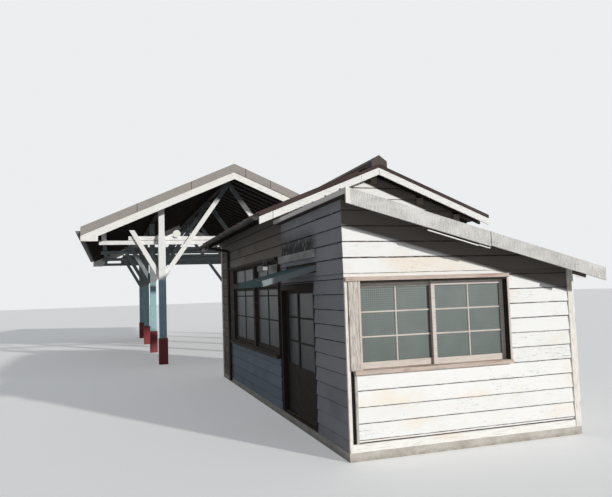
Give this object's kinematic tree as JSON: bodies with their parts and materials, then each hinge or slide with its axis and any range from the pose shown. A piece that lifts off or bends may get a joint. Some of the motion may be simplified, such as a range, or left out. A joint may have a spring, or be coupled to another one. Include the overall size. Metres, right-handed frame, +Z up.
{
  "type": "railway station building",
  "caption": "Small timber railway station building: a gabled hall, a lean-to annex with sliding glazed doors under an awning, and a braced gabled platform canopy behind.",
  "frame": {"origin": "middle of the building's plan at ground level, under the foundation; the canopy lies beyond it", "axes": "+X from the track side to the hill side, +Y along the track from the annex to the canopy, +Z up"},
  "size_m": [7.84, 22.62, 5.16],
  "materials": {
    "foundation_concrete": "rough cast concrete",
    "floor_boards": "worn bare boards",
    "wall_boards": "white painted lap boards, peeling and mildewed",
    "dark_timber": "dark brown stained timber",
    "window_trim": "weathered beige paint",
    "sash_paint": "thin beige paint",
    "window_glass": "patterned grey glass",
    "door_rail_brass": "worn brass",
    "white_trim": "weathered white paint",
    "awning_paint": "faded teal paint",
    "awning_frame_paint": "pale paint",
    "roof_sheet": "dull red-brown sheet",
    "ridge_sheet": "dull grey-brown sheet",
    "gutter_sheet": "dull grey",
    "downpipe_paint": "dull black",
    "lamp_housing": "matt",
    "boot_paint": "dark red paint",
    "canopy_paint": "white paint, weathered",
    "canopy_timber": "dark timber",
    "canopy_sheet": "weathered grey sheet"
  },
  "bodies": {
    "building": {"foundation": "foundation_concrete", "floor": "floor_boards", "front_wall": "wall_boards", "track_wall_pier": "wall_boards", "track_wall_over_door": "wall_boards", "corner_posts": "dark_timber", "hall_track_wall": "wall_boards", "hall_gable_wall": "wall_boards", "rear_wall": "wall_boards", "hall_hill_wall": "wall_boards", "annex_hill_wall": "wall_boards", "corner_boards": "wall_boards", "skirting_boards": "wall_boards", "front_window_frame": "window_trim", "front_sashes": "sash_paint", "front_glass": "window_glass", "platform_window_frame": "dark_timber", "platform_sashes": "dark_timber", "platform_glass": "window_glass", "back_window_frames": "window_trim", "back_sashes": "sash_paint", "back_glass": "window_glass", "door_frame": "dark_timber", "door_rails": "door_rail_brass", "header_board": "white_trim", "awning_frame": "awning_frame_paint", "awning_roof": "awning_paint", "wall_lamp": "lamp_housing", "hall_roof_track": "roof_sheet", "hall_roof_hill": "roof_sheet", "ridge_cap": "ridge_sheet", "barge_boards": "white_trim", "verge_rafters": "dark_timber", "purlins": "dark_timber", "gutter": "gutter_sheet", "downpipe": "downpipe_paint", "annex_roof": "roof_sheet", "annex_fascia": "white_trim", "canopy_post_boots": "boot_paint", "canopy_posts": "canopy_paint", "canopy_ties": "canopy_paint", "canopy_braces": "canopy_paint", "canopy_purlins": "canopy_timber", "canopy_roof_track": "canopy_sheet", "canopy_roof_hill": "canopy_sheet", "canopy_barge_boards": "canopy_paint", "canopy_verge_boards": "canopy_sheet", "canopy_gutters": "gutter_sheet", "canopy_lamp": "lamp_housing"},
    "near_leaf": {"near_leaf": "dark_timber", "near_leaf_glass": "window_glass"},
    "far_leaf": {"far_leaf": "dark_timber", "far_leaf_glass": "window_glass"}
  },
  "joints": [
    {"name": "near_leaf_slide", "type": "slide", "parent": "building", "child": "near_leaf", "axis": [0, 1, 0], "range_m": [0, 0.67]},
    {"name": "far_leaf_slide", "type": "slide", "parent": "building", "child": "far_leaf", "axis": [0, -1, 0], "range_m": [0, 0.67]}
  ]
}
